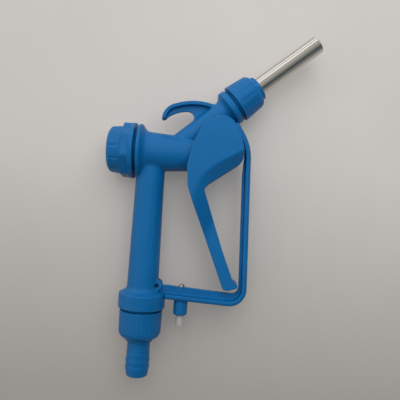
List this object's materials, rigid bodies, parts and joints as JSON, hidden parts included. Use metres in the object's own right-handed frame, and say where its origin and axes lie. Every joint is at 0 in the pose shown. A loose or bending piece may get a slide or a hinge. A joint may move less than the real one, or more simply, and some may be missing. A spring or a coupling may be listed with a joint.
{
  "type": "fuel nozzle",
  "caption": "Hand dispensing nozzle with moulded valve body, finger hook, side lever in a bow guard with hold-open latch, barbed hose tail and plain steel spout.",
  "frame": {"origin": "centre of the bounding box at its lowest level, below the middle of the nozzle as it lies on its side", "axes": "+Y along the grip from the hose tail to the valve chamber; +X along the valve chamber from the rear cap to the lever; +Z is the nozzle's width, upwards as it lies"},
  "size_m": [0.2196, 0.3717, 0.0591],
  "materials": {
    "blue_plastic": "satin moulded polypropylene",
    "stainless_tube": "drawn and polished",
    "stainless_fittings": "turned",
    "seal_rubber": "matte",
    "white_nylon": "natural, slightly translucent"
  },
  "bodies": {
    "root": {"valve_body": "blue_plastic", "rear_cap": "blue_plastic", "rear_cap_seal": "seal_rubber", "spring_cup": "white_nylon", "closing_spring": "stainless_fittings", "stem_gland": "white_nylon", "stem_seals": "seal_rubber", "seat_ring": "stainless_fittings", "lever_washers": "white_nylon", "guard": "blue_plastic", "guard_pin": "stainless_fittings", "guard_screw": "stainless_fittings", "latch_spring": "stainless_fittings", "hose_nut": "blue_plastic", "hose_tail": "blue_plastic", "hose_tail_seal": "seal_rubber", "spout_nut": "blue_plastic", "spout_tube": "stainless_tube", "spout_collar": "stainless_fittings", "spout_seal": "seal_rubber"},
    "lever": {"lever": "blue_plastic", "lever_pin": "stainless_fittings", "push_sleeve": "white_nylon", "sleeve_pin": "stainless_fittings"},
    "valve": {"valve_poppet": "white_nylon", "poppet_seal": "seal_rubber", "poppet_nut": "stainless_fittings", "valve_stem": "stainless_fittings", "stem_cap": "white_nylon"},
    "latch": {"latch_pin": "stainless_fittings", "latch_button": "white_nylon"}
  },
  "joints": [
    {"name": "lever_pull", "type": "hinge", "parent": "root", "child": "lever", "pos_m": [0.01056, 0.07694, 0.02955], "axis": [0, 0, -1], "range_deg": [0, 23]},
    {"name": "valve_open", "type": "slide", "parent": "root", "child": "valve", "axis": [-1, 0, 0], "range_m": [0, 0.0094], "stiffness_N_per_m": 1200, "springref_m": -0.01, "deforming": ["closing_spring"]},
    {"name": "latch_press", "type": "slide", "parent": "root", "child": "latch", "axis": [0, 1, 0], "range_m": [0, 0.006], "stiffness_N_per_m": 300, "springref_m": -0.005, "deforming": ["latch_spring"]}
  ],
  "couplings": [
    {"joint": "valve_open", "follows": "lever_pull", "m_per_rad": 0.023}
  ]
}
